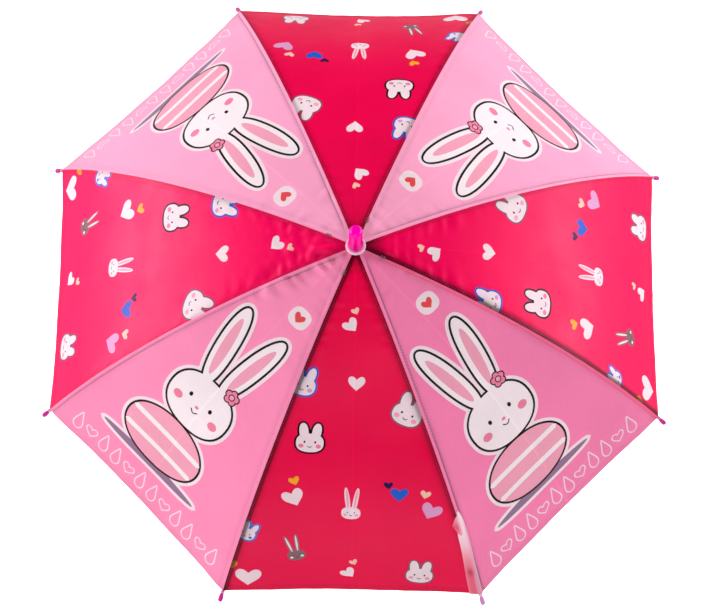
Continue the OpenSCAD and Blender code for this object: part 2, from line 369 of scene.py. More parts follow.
def red_layers():
    # each heart's middle across and down, width, turn and colour
    hearts = [(1, 84, 9.5, -25, PEACH), (-4, 102, 18.5, -38, PALE), (3, 175, 20, 3, PALE)]
    hearts += [(-69, 304, 13, -20, AMBER), (-70, 328, 26, -22, PALE)]
    hearts += [(42, 309, 11, 0, NAVY), (55, 322, 21, 2, BLUE)]
    hearts += [(86, 321, 12.5, 12, PEACH), (93, 345, 25, 22, LILAC)]
    hearts += [(-145, 432, 14, -10, AMBER), (-126, 454, 32, 3, PALE)]
    hearts += [(2, 428, 10, -25, PEACH), (-4, 447, 18.5, -38, PALE)]
    layers = [(heart(x, y, width, turn), colour) for x, y, width, turn, colour in hearts]
    layers += small_rabbit(-60, 178, 33, 14, BLUE, cheek=LILAC)
    layers += small_rabbit(62, 214, 37, 24, GREY, line=1.8)
    layers += small_rabbit(-51, 252, 35, 3, INK, cheek=ROSE)
    layers += small_rabbit(-2, 350, 23, 2, ear=1.25)
    layers += small_rabbit(-127, 381, 25, 30, SKY, cheek=SKY)
    layers += small_rabbit(-67, 416, 22, -14, fur=BROWN, ear=1.15, cheek=WHITE)
    layers += small_rabbit(82, 450, 34, 4, GREY, line=1.8)
    return layers


# ---- the gore's mesh ----


def linked(name, data):
    """A new object of that data in the scene."""
    obj = bpy.data.objects.new(name, data)
    bpy.context.scene.collection.objects.link(obj)
    return obj


def gore_outline():
    rows = [S_TOP + (S_HEM - S_TOP) * i / 110 for i in range(111)]
    w = half_width(S_HEM)
    hem = [(-w + 2 * w * i / 72, S_HEM) for i in range(1, 72)]
    return [(-half_width(s), s) for s in rows] + hem + [(half_width(s), s) for s in rows[::-1]]


def gore_points():
    """Points between the outlines: fine along the seams, hem, middle and hub."""
    out = []
    s = S_TOP + 2.5
    while s < S_HEM - 0.6:
        w = half_width(s)
        for inset in (1.1, 2.3, 3.7, 5.0, 6.4, 8.6, 12.0):
            if w - inset > 1.2:
                out += [(w - inset, s), (inset - w, s)]
        for u in (0, 1.3, 3.0):
            if w - u > 13.5:
                out += [(u, s), (-u, s)]
        s += 3.2 if s < HUB_S else 4.0
    s = S_TOP + 3
    while s < S_HEM - 12:
        w = half_width(s) - 14
        step = 3.4 if s < HUB_S else 6.5
        count = int(w / step)
        for i in range(1, count + 1):
            u = i * step + 4
            if u < w:
                out += [(u, s), (-u, s)]
        s += step
    for up in (1.2, 3.0, HEM_W - 1.0, HEM_W, HEM_W + 1.2):
        w = half_width(S_HEM - up) - 4
        count = int(2 * w / 4)
        out += [(-w + 2 * w * i / count, S_HEM - up) for i in range(count + 1)]
    return out


def trimmed(points, tris):
    """The points that the triangles use, and the triangles renumbered to them."""
    used = sorted({v for t in tris for v in t})
    number = {v: i for i, v in enumerate(used)}
    return [tuple(points[v]) for v in used], [[number[v] for v in t] for t in tris]


def triangulate(layers, cloth):
    """(points, triangles, colours): the gore cut along every outline, each triangle in its top colour."""
    loops = [gore_outline()] + [shape for shape, _ in layers]
    points, faces = [], []
    for loop in loops:
        if area(loop) < 0:
            loop = loop[::-1]
        faces.append(list(range(len(points), len(points) + len(loop))))
        points += [Vector(p) for p in loop]
    points += [Vector(p) for p in gore_points()]
    made = delaunay_2d_cdt(points, [], faces, 1, 0.03)
    colours = [cloth] + [colour for _, colour in layers]
    tris, paint = [], []
    for tri, owners in zip(made[2], made[5]):
        if 0 in owners:
            tris.append(tri)
            paint.append(colours[max(owners)])
    spots, tris = trimmed(made[0], tris)
    tris = [t if area([spots[v] for v in t]) > 0 else t[::-1] for t in tris]
    return spots, tris, paint


def place(k, u, s, lift=0.0):
    """A point of gore k, lift above the flat gore, in metres."""
    phi = s / DOME_R
    n = Vector((math.sin(phi), math.cos(phi) * math.cos(HALF))).normalized()
    d = DOME_R * math.sin(phi) * math.cos(HALF) + n.x * lift
    z = CENTRE_Z + DOME_R * math.cos(phi) + n.y * lift
    a = PITCH * k
    return Vector((d * math.cos(a) - u * math.sin(a), d * math.sin(a) + u * math.cos(a), z)) * MM


def wave(a, b, seed):
    return noise.noise(Vector((a, b, seed)))


# how strongly each gore is gathered near the hub beside its first (False) and second (True) seam
GATHERS = {(4, False): 0.5, (4, True): 0.9, (5, False): 1.0}
GATHERS.update({(7, False): 0.4, (8, False): 0.6, (8, True): 0.5})
# how much painted shade darkens each red gore beside its first (False) and second (True) seam
SEAM_SHADE = {(2, False): 0.55, (2, True): 0.45, (4, False): 0.3, (4, True): 0.2}
SEAM_SHADE.update({(6, False): 1.0, (6, True): 0.7, (8, False): 1.0, (8, True): 0.3})
# how much painted shade darkens each red gore at the hub
HUB_SHADE = {2: 0.40, 4: 0.20, 6: 0.30, 8: 0.65}


def relief(k, u, s):
    """How far the cloth stands off the flat gore."""
    w = half_width(s)
    edge = w - abs(u)
    t = u / w
    sag = -4.2 * (w / 155) ** 2 * (1 - t * t)
    drop = -0.28 * bell(edge, 0.9)
    crease = -0.55 * bell(edge - SEAM_LINE, 1.2) if u < 0 else -0.22 * bell(edge - SEAM_LINE, 1.1)
    crease *= ramp(w, 7, 14)
    inside = ramp(edge, 0.5, 14)
    gathers = GATHERS.get((k, u > 0), 0.25)
    seam_pucker = 0.42 * wave(s / 9.5, t * 3, k * 7.3) * bell(edge - 7, 11) * ramp(edge, 0, 5)
    beside = bell(edge - 9, 11) * ramp(edge, 0, 6) * (1 - ramp(s, 90, 190))
    seam_pucker += 5.5 * gathers * wave(s / 8, edge / 40, k * 4.1) * beside
    hub = (1 - ramp(s, 40, 150)) * ramp(s, 12, 22)
    hub_pucker = 0.75 * wave(t * 4.2, s / 70, k * 3.1) * hub * ramp(edge, 0, 5)
    if k == 4:
        creased = ramp(s, 16, 30) * (1 - ramp(s, 60, 130)) * ramp(edge, 0, 5)
        hub_pucker += 3.4 * wave(u / 8, s / 12, 8.8) * creased
    middle = 0.26 * bell(u, 0.9) * inside * ramp(s, 24, 50)
    broad = 1.5 * wave(u / 75, s / 95, k * 5.7) * inside * ramp(s, 40, 140)
    small = 0.16 * wave(u / 16, s / 22, k * 2.9) * inside
    hem = 0.22 * (1 - ramp(S_HEM - s, HEM_W - 0.6, HEM_W + 0.8))
    hem += 0.35 * wave(u / 11, 0.5, k * 1.7) * bell(S_HEM - s, 14) * inside
    return sag + drop + crease + seam_pucker + hub_pucker + middle + broad + small + hem


def mixed(a, b, t):
    return tuple(x * (1 - t) + y * t for x, y in zip(a, b))


def painted_shading(k, u, s, colour):
    """colour on gore k at (u, s) with painted light and shade: a painted shade line by its first seam,
    painted shade at seams, hem and hub, and painted highlights down the middle crease and beside a pink
    gore's first seam.
    """
    w = half_width(s)
    edge = w - abs(u)
    first, red = u < 0, k % 2 == 0
    wide = ramp(w, 7, 14)
    # the line by the first seam is painted shade, the shadow in the crease there
    line = bell(edge - SEAM_LINE, 0.95) * wide * (1.0 if k == 7 else 0.6) if first else 0
    # painted shade along the hem; the negative part is a painted highlight down the middle crease
    painted_shade = 0.06 * (1 - ramp(S_HEM - s, HEM_W - 0.5, HEM_W + 0.5)) - 0.10 * bell(u, 0.9) * wide
    tint, other = 0.0, MAUVE
    if red:
        # painted shade on a red gore: beside its seams, darkest right at them, along the line by its first
        # seam, and at its hub
        deep = SEAM_SHADE[k, u > 0]
        painted_shade += deep * (0.58 * (1 - ramp(edge, 3, 6.5)) + 0.24 * (1 - ramp(edge, 4, 14)) + 0.3 * line)
        painted_shade += HUB_SHADE[k] * (1 - ramp(s, 14, 44))
    else:
        # painted shade on a pink gore: beside its seams, at its hub and as a mauve line by its first seam;
        # a painted highlight in a narrow strip right at its first seam
        painted_shade += 0.10 * (1 - ramp(edge, 5, 13)) * ramp(edge, 4, 6) + 0.42 * line
        painted_shade += 0.16 * (1 - ramp(s, 12, 40))
        painted_shade -= 0.06 * (1 - ramp(edge, 3, 4.6)) if first else 0
        tint = 0.65 * line
        if (k, first) == (7, False):
            tint, other = 0.42 * (1 - ramp(edge, 4, 6.5)) * wide, RED
    # the painted shade and highlights as one factor on the colour
    light = min(max(1 - painted_shade, 0.12), 1.12)
    return (*[c * light for c in mixed(colour[:3], other[:3], tint)], 1.0)


def cloth_mesh(name, spots, tris, outer, inner, paint_outer, paint_inner):
    """A closed sheet from one triangulation: outer and inner layer and the rim between them."""
    n = len(spots)
    rim = {}
    for t in tris:
        for a, b in zip(t, t[1:] + t[:1]):
            if (b, a) in rim:
                del rim[(b, a)]
            else:
                rim[(a, b)] = True
    faces = [list(t) for t in tris] + [[v + n for v in t[::-1]] for t in tris]
    faces += [[b, a, a + n, b + n] for a, b in rim]
    me = bpy.data.meshes.new(name)
    me.from_pydata(outer + inner, [], faces)
    me.update()
    colours = []
    for t, c in zip(tris, paint_outer):
        colours += c
    for t, c in zip(tris, paint_inner):
        colours += c[::-1]
    for a, b in rim:
        colours += [paint_outer[0][0]] * 4
    layer = me.color_attributes.new("print", "FLOAT_COLOR", "CORNER")
    layer.data.foreach_set("color", [x for c in colours for x in c])
    thread = me.attributes.new("thread", "FLOAT_VECTOR", "POINT")
    thread.data.foreach_set("vector", [x for p in spots + spots for x in (p[0] * MM, p[1] * MM, 0)])
    me.shade_smooth()
    me.set_sharp_from_angle(angle=math.radians(48))
    return linked(name, me)


def gore(k, plan, cloth, dye_and_painted_light):
    """Gore k's cloth from its plan, with the plan's ground colour, cloth, swapped for its own colour: the
    dye with painted light, each gore lighter, deeper or hazier to stand in for the light on it.
    """
    spots, tris, paint = plan
    paint = [dye_and_painted_light if c == cloth else c for c in paint]
    lift = [relief(k, u, s) for u, s in spots]
    outer = [place(k, u, s, h) for (u, s), h in zip(spots, lift)]
    thick = [CLOTH_T + 0.25 * (1 - ramp(S_HEM - s, HEM_W - 0.6, HEM_W + 0.8)) for u, s in spots]
    inner = [place(k, u, s, h - t) for (u, s), h, t in zip(spots, lift, thick)]
    over = [[painted_shading(k, *spots[v], c) for v in t] for t, c in zip(tris, paint)]
    back = mixed(dye_and_painted_light, WHITE, 0.16)
    under = [[painted_shading(k, *spots[v], mixed(back, c, 0.34)) for v in t] for t, c in zip(tris, paint)]
    # seen from above, u runs anticlockwise and s outwards, so a positive turn in (u, s) faces down
    tris = [t[::-1] for t in tris]
    over = [c[::-1] for c in over]
    under = [c[::-1] for c in under]
    return cloth_mesh(f"cloth_gore_{k}", spots, tris, outer, inner, over, under)


# ---- cloth that spans two ribs ----


def rig_between(near, far):
    """Two bones: one rides on body near, the other follows body far."""
    data = bpy.data.armatures.new(f"bend_{near}_{far}")
    rig = linked(data.name, data)
    bpy.context.view_layer.objects.active = rig
    bpy.ops.object.mode_set(mode="EDIT")
    for name in ("near", "far"):
        bone = data.edit_bones.new(name)
        bone.head = (0, 0, 0)
        bone.tail = (0, 0.1, 0)
    bpy.ops.object.mode_set(mode="OBJECT")
    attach(rig, near)
    follow = rig.pose.bones["far"].constraints.new("COPY_TRANSFORMS")
    follow.target = frame["bodies"][far]
    return rig


def hang_between(obj, rig, near, share):
    """obj rides on near; share(i) is how far its vertex i follows the other rib instead."""
    groups = [obj.vertex_groups.new(name=n) for n in ("near", "far")]
    for i in range(len(obj.data.vertices)):
        f = min(max(share(i), 0), 1)
        groups[0].add([i], 1 - f, "REPLACE")
        groups[1].add([i], f, "REPLACE")
    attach(obj, near)
    mod = obj.modifiers.new("bend", "ARMATURE")
    mod.object = rig


def across_gore(k, point):
    """Where a point in metres lies across gore k: 0 at its first rib, 1 at its second."""
    a = PITCH * k
    x, y = point[0], point[1]
    d = x * math.cos(a) + y * math.sin(a)
    u = y * math.cos(a) - x * math.sin(a)
    return 0.5 + 0.5 * u / max(d * math.tan(HALF), 1e-6)


# ---- stitches and threads ----


class Threads:
    """Short lengths of thread gathered into one mesh."""

    def __init__(self):
        self.verts, self.faces = [], []

    def strand(self, path, r, sides=5, closed=False):
        """One thread along a path of points in metres, r in millimetres."""
        pts = [Vector(p) for p in path]
        n = len(pts)
        base = len(self.verts)
        r *= MM
        for i, p in enumerate(pts):
            if closed:
                d = (pts[(i + 1) % n] - pts[i - 1]).normalized()
            else:
                d = (pts[min(i + 1, n - 1)] - pts[max(i - 1, 0)]).normalized()
            side = d.orthogonal() if abs(d.z) > 0.9 else d.cross(Vector((0, 0, 1)))
            side.normalize()
            up = side.cross(d)
            size = r if closed or 0 < i < n - 1 else r * 0.45
            for j in range(sides):
                a = 2 * math.pi * j / sides
                self.verts.append(p + side * (size * math.cos(a)) + up * (size * math.sin(a)))
        for i in range(n if closed else n - 1):
            a, b = base + i * sides, base + ((i + 1) % n) * sides
            for j in range(sides):
                k = (j + 1) % sides
                self.faces.append((a + j, b + j, b + k, a + k))
        if not closed:
            self.faces.append(tuple(base + j for j in range(sides)))
            last = base + (n - 1) * sides
            self.faces.append(tuple(last + j for j in reversed(range(sides))))

    def build(self, name, material):
        me = bpy.data.meshes.new(name)
        me.from_pydata(self.verts, [], self.faces)
        me.update()
        bm = bmesh.new()
        bm.from_mesh(me)
        bmesh.ops.recalc_face_normals(bm, faces=bm.faces)
        bm.to_mesh(me)
        bm.free()
        me.shade_smooth()
        me.materials.append(material)
        return linked(name, me)


def gore_stitches(k, material):
    """The hem's row of stitches and a row beside each seam."""
    t = Threads()

    def stitch(u0, s0, u1, s1):
        ends = []
        for f, up in ((0, 0.02), (0.25, 0.16), (0.75, 0.16), (1, 0.02)):
            u, s = u0 + (u1 - u0) * f, s0 + (s1 - s0) * f
            ends.append(place(k, u, s, relief(k, u, s) + up))
        t.strand(ends, 0.17, 4)

    s = S_HEM - HEM_W + 2
    w = half_width(s) - 5
    u = -w
    while u < w - 3:
        stitch(u, s, u + 2.5, s)
        u += 3.6
    s = 24.0
    while s < S_HEM - 6:
        for side in (-1, 1):
            stitch(side * (half_width(s) - 2.4), s, side * (half_width(s + 2.5) - 2.4), s + 2.5)
        s += 3.8
    return t.build(f"gore_stitches_{k}", material)


def rib_point(i, s, out, side=0.0):
    """A point in the plane of rib i, out from the dome's centre, side to its left, in metres."""
    phi = s / DOME_R
    a = rib_azimuth(i)
    d, z = out * math.sin(phi), CENTRE_Z + out * math.cos(phi)
    return Vector((d * math.cos(a) - side * math.sin(a), d * math.sin(a) + side * math.cos(a), z)) * MM


def rib_ties(i, material):
    """Thread wound round the rib's wire where the cloth is sewn to it."""
    t = Threads()
    for s in TIE_S:
        for turn in range(4):
            ring = []
            for j in range(14):
                a = 2 * math.pi * j / 14
                down = s + turn * 0.55 + 0.1 * math.sin(a)
                ring.append(rib_point(i, down, ARC_R + 1.62 * math.cos(a), 1.62 * math.sin(a)))
            t.strand(ring, 0.26, 5, True)
    return t.build(f"rib_ties_{i}", material)


def seam_tack(i, material):
    """A few loose ends of thread where the seam is tacked to the rib near the hub."""
    t = Threads()
    for j in range(6):
        s = 32 + j * 1.1
        slant = 1.6 * math.sin(j * 2.3)
        path = []
        for f in range(5):
            x = f / 4 - 0.5
            lift = 0.75 + 0.6 * math.cos(x * math.pi) + 0.12 * (j % 3)
            path.append(rib_point(i, s + slant * x, DOME_R + lift - 0.6, x * 3.6))
        t.strand(path, 0.3, 6)
    return t.build(f"seam_tack_{i}", material)


def tip_threads(i, material):
    """Thread from the gores' corners through the tip's neck."""
    t = Threads()
    for side in (-1, 1):
        for j in range(3):
            path = []
            for f in range(6):
                x = f / 5
                s = S_HEM - 3.5 + 8.5 * x
                out = ARC_R + 2.9 - 0.8 * x - 0.25 * j
                path.append(rib_point(i, s, out, side * (3.2 - 2.4 * x + 0.25 * j)))
            t.strand(path, 0.22, 5)
    ring = []
    for j in range(16):
        a = 2 * math.pi * j / 16
        ring.append(rib_point(i, S_HEM + 4.6, ARC_R + 2.05 * math.cos(a), 2.05 * math.sin(a)))
    t.strand(ring, 0.3, 6, True)
    return t.build(f"tip_threads_{i}", material)


# ---- turned plastic pieces ----


def lathe(name, profile, sides=64, slots=None):
    """A solid turned about Z from (radius, height) points; slots gives each step's material."""
    verts, faces, which = [], [], []
    rings = []
    for r, z in profile:
        if r < 1e-4:
            rings.append([len(verts)])
            verts.append(Vector((0, 0, z)) * MM)
        else:
            rings.append(list(range(len(verts), len(verts) + sides)))
            for j in range(sides):
                a = 2 * math.pi * j / sides
                verts.append(Vector((r * math.cos(a), r * math.sin(a), z)) * MM)
    for i in range(len(rings) - 1):
        a, b = rings[i], rings[i + 1]
        for j in range(sides):
            k = (j + 1) % sides
            if len(a) == 1:
                faces.append((a[0], b[k], b[j]))
            elif len(b) == 1:
                faces.append((a[j], a[k], b[0]))
            else:
                faces.append((a[j], a[k], b[k], b[j]))
            which.append(slots[i] if slots else 0)
    me = bpy.data.meshes.new(name)
    me.from_pydata(verts, [], faces)
    me.update()
    bm = bmesh.new()
    bm.from_mesh(me)
    for f, m in zip(bm.faces, which):
        f.material_index = m
    bmesh.ops.recalc_face_normals(bm, faces=bm.faces)
    bm.to_mesh(me)
    bm.free()
    me.shade_smooth()
    me.set_sharp_from_angle(angle=math.radians(40))
    return linked(name, me)


def arc(cx, cz, r, start, end, n):
    """Profile points on a circle, angles in degrees from the outward direction."""
    out = []
    for i in range(n + 1):
        a = math.radians(start + (end - start) * i / n)
        out.append((cx + r * math.cos(a), cz + r * math.sin(a)))
    return out


FERRULE_R = 8.2  # the nose's radius
FERRULE_CONE = 28  # the height at which the foot has drawn in to the nose
FERRULE_FOOT = 2.8  # the height of the foot's rounded edge
FERRULE_BORE = 31  # the bore's depth
FERRULE_END = 7.5  # the height of the nose's rounded end


def ferrule():
    low, high = box_mm("ferrule")
    z, h = low[2], high[2] - low[2]
    foot = high[0]
    nose = FERRULE_R
    curve = [(foot - 1.3, z), (foot - 0.7, z + 0.4), (foot - 0.2, z + 1.4), (foot, z + FERRULE_FOOT)]
    for i in range(1, 13):
        t = i / 12
        up = FERRULE_FOOT + (FERRULE_CONE - FERRULE_FOOT) * t
        curve.append((foot - (foot - nose) * ramp(t, -0.1, 1), z + up))
    curve.append((nose, z + h - 10))
    for i in range(1, 15):
        a = math.radians(90 * i / 14)
        r = nose * math.cos(a) ** 0.62 if i < 14 else 0
        curve.append((r, z + h - FERRULE_END + FERRULE_END * math.sin(a)))
    bore = [(0, z + FERRULE_BORE), (SHAFT_BORE, z + FERRULE_BORE), (SHAFT_BORE, z)]
    obj = lathe("ferrule_cap", bore + curve, 72)
    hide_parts("ferrule")
    return obj


def washer():
    low, high = box_mm("canopy_washer")
    z, h, r = low[2], high[2] - low[2], high[0]
    e = h / 2
    profile = [(SHAFT_BORE, z), (r - e, z)] + arc(r - e, z + e, e, -80, 80, 10) + [(r - e, z + h)]
    profile += [(r - e - 0.8, z + h - 0.35), (SHAFT_BORE, z + h - 0.35), (SHAFT_BORE, z)]
    obj = lathe("hub_washer", profile, 72)
    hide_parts("canopy_washer")
    return obj


def tip(i, bright, pale):
    """A rib tip: a pale neck that holds the wire and a bright bulb with a rounded end."""
    neck = [(1.36, 9.5), (1.36, 0.0), (1.9, 0.0), (2.1, 0.3)]
    neck += [(2.1, 1.4), (1.8, 2.0), (1.7, 6.0), (1.75, 11.0)]
    bulb = [(1.9, 12.6), (2.1, 13.4), (2.35, 14.6), (2.6, 16.4), (2.8, 18.6), (2.95, 21.0), (3.0, 23.2)]
    end = arc(0, 24.4, 2.98, 2, 90, 8)
    profile = [(0, 9.5)] + neck + bulb + [(max(r, 0), z) for r, z in end]
    profile[-1] = (0, profile[-1][1])
    steps = [1] * len(neck) + [0] * (len(profile) - 1 - len(neck))
    obj = lathe(f"tip_{i}", profile, 28, steps)
    obj.data.materials.append(bright)
    obj.data.materials.append(pale)
    phi = S_HEM / DOME_R
    a = rib_azimuth(i)
    along = Vector((math.cos(phi) * math.cos(a), math.cos(phi) * math.sin(a), -math.sin(phi)))
    side = Vector((-math.sin(a), math.cos(a), 0))
    up = along.cross(side)
    start = rib_point(i, S_HEM, ARC_R) - along * 5 * MM
    turn = Matrix((side, up, along)).transposed().to_4x4()
    obj.data.transform(Matrix.Translation(start) @ turn)
    obj.data.update()
    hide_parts(f"rib_tip_{i}")
    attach(obj, f"rib_arm_{i}")


# ---- the tie strap ----

STRAP_TOP, STRAP_END = S_HEM - 133, S_HEM - 0.5  # down the seam of rib 7


def over_seam(v, s, lift):
    """A point v past the seam of rib 7 and s down it, bent over its ridge, lift above the cloth."""
    w = half_width(s)
    sides = []
    for k, u in ((6, w + v), (7, v - w)):
        cloth = max(relief(k, min(max(u, -w), w), s), -0.6)
        sides.append(place(k, u, s, cloth + lift))
    return sides[0].lerp(sides[1], ramp(v, -2.5, 2.5))


def strap_left(t):
    """The strap's left edge, t from its upper end to the hem: it drifts on to the red gore."""
    return 1.2 - 7.2 * ramp(t, -0.05, 0.30) - 7.2 * ramp(t, 0.2, 1.02)


def strap_right(t):
    return 3.2 + 3.2 * ramp(t, -0.04, 0.12) - 4.0 * ramp(t, 0.2, 1.0)


def strap(material):
    """A satin ribbon on the seam of rib 7, sewn at the hem."""
    rows, cols = 66, 10
    outer, inner, spots, colours = [], [], [], []
    for i in range(rows + 1):
        t = i / rows
        s = STRAP_TOP + (STRAP_END - STRAP_TOP) * t
        for j in range(cols + 1):
            f = j / cols
            v = strap_left(t) + (strap_right(t) - strap_left(t)) * f
            crown = 0.35 * math.sin(f * math.pi) + 0.4 * wave(s / 15, f * 2.2, 4.4)
            crown += 0.7 * bell(t - 0.70, 0.035) * bell(f - 0.5, 0.4)  # the fold across it
            lift = 1.0 + crown
            outer.append(over_seam(v, s, lift + 0.32))
            inner.append(over_seam(v, s, lift))
            spots.append((v, s))
            warm = ramp(t, 0.30, 0.75) * (1 - ramp(f, 0.55, 0.9)) * (0.70 + 0.30 * ramp(f, 0.0, 0.3))
            # painted shade along the ribbon's right edge
            grey = ramp(f, 0.62, 0.86) * (0.55 + 0.45 * ramp(t, 0.1, 0.5))
            grey *= 1 - 0.8 * ramp(f, 0.93, 1.0)
            # painted shade at the fold across it
            fold_shade = bell(t - 0.70, 0.05) * bell(f - 0.45, 0.25)
            # a painted pale sheen at the ribbon's upper end, fading down it
            c = mixed(mixed(RIBBON_PAINTED_SHEEN, RIBBON, ramp(t, 0.15, 0.6)), RIBBON_WARM, warm)
            colours.append(mixed(mixed(c, RIBBON_FOLD_SHADE, 0.8 * fold_shade), RIBBON_PAINTED_SHADE, 0.7 * grey))
    tris = []
    for i in range(rows):
        for j in range(cols):
            a = i * (cols + 1) + j
            b = a + cols + 1
            tris += [[a, b, a + 1], [a + 1, b, b + 1]]
    paint = [[colours[v] for v in t] for t in tris]
    obj = cloth_mesh("tie_strap_ribbon", spots, tris, outer, inner, paint, paint)
    obj.data.materials.append(material)
    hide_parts("tie_strap")
    return obj


def strap_tab(material):
    """The hook-and-loop tab that the strap's upper end is folded round."""
    corners = [(2.4, 0.0), (4.5, 6.0), (3.4, 22.0), (-1.5, 33.0), (-3.9, 31.0), (-8.8, 18.5), (-3.2, 8.0)]
    loop = []
    for a, b in zip(corners, corners[1:] + corners[:1]):
        loop += [(a[0] + (b[0] - a[0]) * i / 6, STRAP_TOP + a[1] + (b[1] - a[1]) * i / 6) for i in range(6)]
    if area(loop) < 0:
        loop = loop[::-1]
    pts = [Vector(p) for p in loop]
    low, high = [[f(p[i] for p in pts) for i in (0, 1)] for f in (min, max)]
    for i in range(1, 8):
        for j in range(1, 14):
            pts.append(Vector((low[0] + (high[0] - low[0]) * i / 8, low[1] + (high[1] - low[1]) * j / 14)))
    made = delaunay_2d_cdt(pts, [], [list(range(len(loop)))], 1, 0.02)
    spots, tris = trimmed(made[0], made[2])
    tris = [t if area([spots[v] for v in t]) < 0 else t[::-1] for t in tris]
    lifts = [2.1 + 0.5 * ramp(-v, 0, 8) - 0.3 * bell(s - STRAP_TOP - 18, 5) for v, s in spots]
    outer = [over_seam(v, s, h + 0.3) for (v, s), h in zip(spots, lifts)]
    inner = [over_seam(v, s, h) for (v, s), h in zip(spots, lifts)]
    colour = []
    for v, s in spots:
        low_part = bell(s - STRAP_TOP - 21, 7) * ramp(-v, -1, 3)
        c = mixed(TAB_PALE, TAB, ramp(-v, -2, 2.5))
        colour.append(mixed(c, TAB_LOW, 0.85 * low_part))
    paint = [[colour[v] for v in t] for t in tris]
    obj = cloth_mesh("tie_strap_tab", spots, tris, outer, inner, paint, paint)
    obj.data.materials.append(material)
    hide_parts("tie_strap_patch")
    return obj


# ---- materials ----


NOISE_SPAN = (0.3, 0.7)  # the part of 0 to 1 that a noise mostly fills


class Nodes:
    """A material being built."""

    def __init__(self, name, **settings):
        self.mat = bpy.data.materials.new(name)
        self.mat.use_nodes = True
        self.tree = self.mat.node_tree
        self.shader = self.tree.nodes["Principled BSDF"]
        for key, value in settings.items():
            self.shader.inputs[key.replace("_", " ")].default_value = value

    def add(self, kind, **values):
        node = self.tree.nodes.new(kind)
        for key, value in values.items():
            if hasattr(node, key):
                setattr(node, key, value)
            else:
                node.inputs[key.replace("_", " ")].default_value = value
        return node

    def join(self, a, b):
        self.tree.links.new(a, b)

    def coords(self, stretch=(1, 1, 1), attribute=None):
        if attribute:
            src = self.add("ShaderNodeAttribute", attribute_name=attribute).outputs["Vector"]
        else:
            src = self.add("ShaderNodeTexCoord").outputs["Object"]
        mapping = self.add("ShaderNodeMapping")
        mapping.inputs["Scale"].default_value = stretch
        self.join(src, mapping.inputs["Vector"])
        return mapping.outputs["Vector"]

    def noise(self, scale, detail=2.0, stretch=(1, 1, 1), attribute=None, rough=0.5):
        node = self.add("ShaderNodeTexNoise", Scale=scale, Detail=detail, Roughness=rough)
        self.join(self.coords(stretch, attribute), node.inputs["Vector"])
        return node.outputs["Fac"]

    def between(self, fac, low, high, start=0.0, end=1.0):
        node = self.add("ShaderNodeMapRange")
        for key, value in (("From Min", start), ("From Max", end), ("To Min", low), ("To Max", high)):
            node.inputs[key].default_value = value
        self.join(fac, node.inputs["Value"])
        return node.outputs["Result"]

    def math(self, operation, a, b):
        node = self.add("ShaderNodeMath", operation=operation)
        self.join(a, node.inputs[0])
        self.join(b, node.inputs[1])
        return node.outputs[0]

    def colour(self, colour, amount):
        """The base colour: colour, a value or a socket, times amount, a socket."""
        node = self.add("ShaderNodeMix", data_type="RGBA", blend_type="MULTIPLY")
        node.inputs["Factor"].default_value = 1.0
        first, second, result = node.inputs[6], node.inputs[7], node.outputs[2]
        if isinstance(colour, tuple):
            first.default_value = colour
        else:
            self.join(colour, first)
        self.join(amount, second)
        self.join(result, self.shader.inputs["Base Color"])

    def rough(self, fac, low, high):
        """The roughness, from low to high as the noise fac varies."""
        self.join(self.between(fac, low, high, *NOISE_SPAN), self.shader.inputs["Roughness"])

    def bump(self, height, distance, strength=1.0, before=None):
        node = self.add("ShaderNodeBump", Distance=distance, Strength=strength)
        self.join(height, node.inputs["Height"])
        if before is not None:
            self.join(before, node.inputs["Normal"])
        self.join(node.outputs["Normal"], self.shader.inputs["Normal"])
        return node.outputs["Normal"]


def cloth_material(name, sheen, gloss="#ffffff"):
    m = Nodes(name, Roughness=0.44, Sheen_Weight=sheen, Sheen_Roughness=0.45, Specular_IOR_Level=0.5)
    m.shader.inputs["Sheen Tint"].default_value = tone("#ffd6e4")
    m.shader.inputs["Specular Tint"].default_value = tone(gloss)
    # the print colours, with the gores' painted light and shade, come in as the 'print' attribute
    dye_and_painted_light = m.add("ShaderNodeAttribute", attribute_name="print").outputs["Color"]
    slub_a = m.noise(1.0, 2, (2600, 120, 1), "thread")
    slub_b = m.noise(1.0, 2, (120, 2600, 1), "thread")
    weave = m.math("ADD", slub_a, slub_b)
    patchy = m.between(m.noise(14, 3), 0.955, 1.03, *NOISE_SPAN)
    threads = m.between(weave, 0.94, 1.05, 0.6, 1.4)
    m.colour(dye_and_painted_light, m.math("MULTIPLY", patchy, threads))
    m.rough(m.noise(22, 3), 0.38, 0.50)
    creases = m.bump(m.noise(38, 4, rough=0.6), 0.0012, 0.5)
    m.bump(weave, 0.00012, 0.6, creases)
    return m.mat


def plastic_material(name, colour, rough, coat=0.4):
    m = Nodes(name, Roughness=rough, Coat_Weight=coat, Coat_Roughness=0.12, IOR=1.49)
    m.colour(colour, m.between(m.noise(45, 3), 0.94, 1.05, *NOISE_SPAN))
    m.rough(m.noise(90, 3), rough - 0.03, rough + 0.05)
    m.bump(m.noise(300, 2), 0.00002, 0.3)
    return m.mat


CLEAR_MAGENTA = (1.0, 0.0, 0.34, 1)


